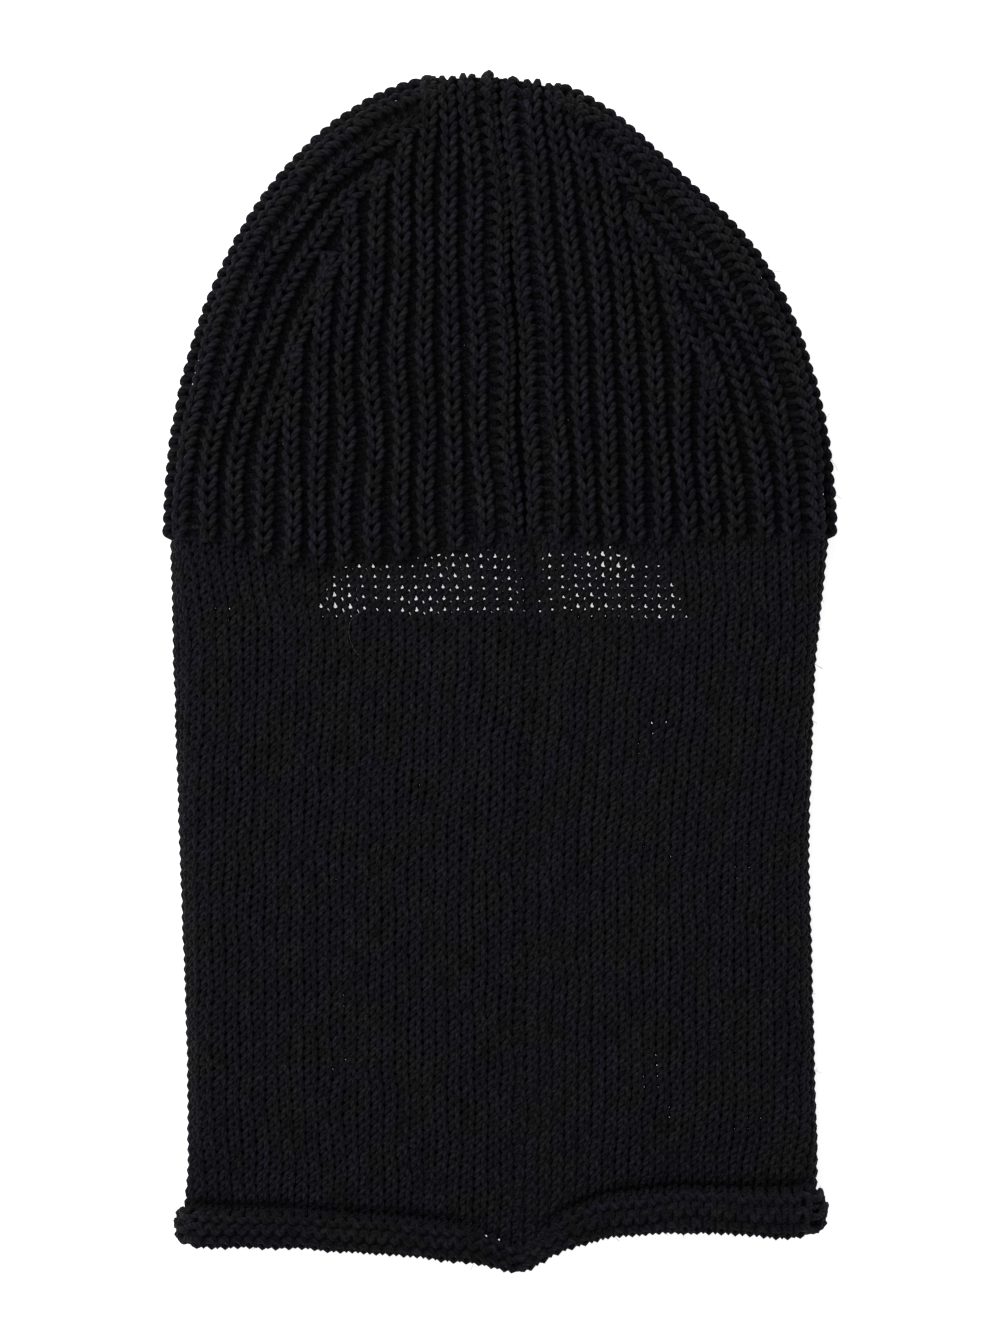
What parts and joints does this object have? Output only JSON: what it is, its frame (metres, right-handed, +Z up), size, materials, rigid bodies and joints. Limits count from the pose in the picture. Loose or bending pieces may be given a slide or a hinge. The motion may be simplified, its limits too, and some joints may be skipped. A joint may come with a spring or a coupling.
{
  "type": "balaclava",
  "caption": "Knitted balaclava lying flat on its front: ribbed crown gathered at the tip, plain knit neck tube, wide eye opening, rolled hem and sewn centre-back seams.",
  "frame": {"origin": "on the surface the garment lies on, below the centre of its laid-flat outline", "axes": "+X across the width, +Y from the hem towards the tip of the crown, +Z up from the front layer to the back layer"},
  "size_m": [0.232, 0.4149, 0.031],
  "materials": {
    "crown_knit": "matte chunky wool-blend rib knit, blue-black heather, slightly fuzzy",
    "neck_knit": "matte plain knit in plied wool-blend yarn, blue-black heather",
    "edge_yarn": "matte knitted edge chain, same blue-black yarn",
    "seam_yarn": "matte plied sewing yarn, same blue-black yarn",
    "label_tape": "black satin woven tape, blank"
  },
  "bodies": {
    "root": {"crown_rib_panel": "crown_knit", "neck_tube_panel": "neck_knit", "rolled_hem": "neck_knit", "hem_bind_off_chain": "edge_yarn", "eye_opening_upper_edge": "edge_yarn", "eye_opening_lower_edge": "edge_yarn", "crown_back_seam": "seam_yarn", "neck_back_seam": "seam_yarn", "crown_to_neck_seam": "seam_yarn", "crown_gather_yarn": "seam_yarn", "care_label": "label_tape"}
  },
  "joints": []
}
